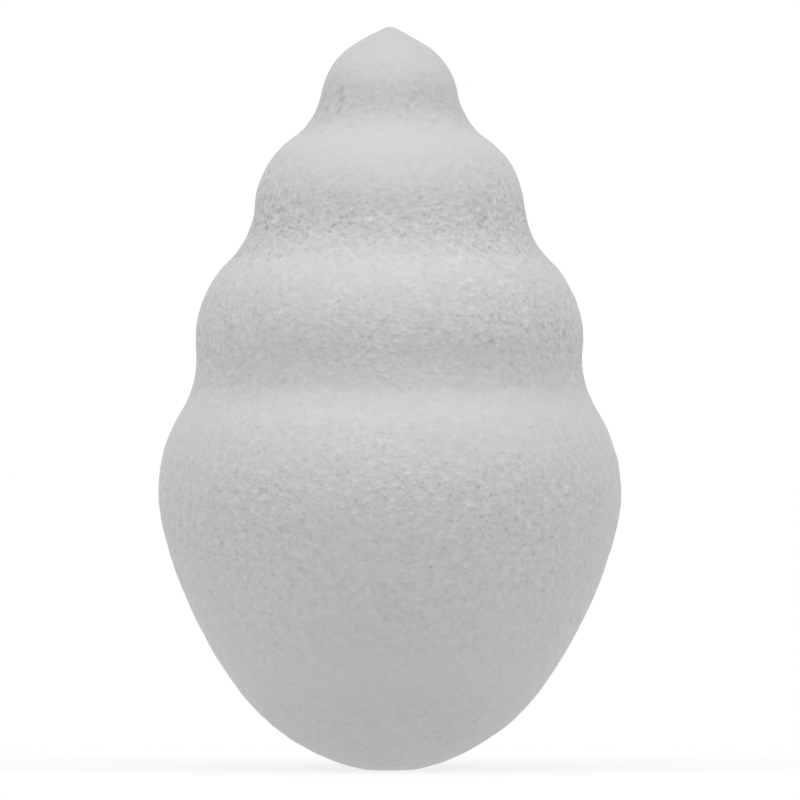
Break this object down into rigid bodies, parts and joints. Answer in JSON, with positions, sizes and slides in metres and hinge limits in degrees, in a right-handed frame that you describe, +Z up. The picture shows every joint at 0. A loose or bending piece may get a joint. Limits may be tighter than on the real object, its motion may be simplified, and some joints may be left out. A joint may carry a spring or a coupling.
{
  "type": "makeup sponge",
  "caption": "Soft light-grey foam makeup sponge for blending foundation: a tiered gourd shape with a pointed tip, rounded waists and a wide belly on a small flat foot.",
  "frame": {"origin": "middle of the flat foot at the bottom of the rounded base, on the axis", "axes": "+Z up along the sponge's axis, from the foot to the pointed tip; the sponge is the same all the way round, so +X and +Y are any two square directions"},
  "size_m": [0.04, 0.04, 0.0643],
  "materials": {
    "foam": "matte, fine-celled soft foam with a suede-like skin"
  },
  "bodies": {
    "root": {"foam_body": "foam"}
  },
  "joints": []
}
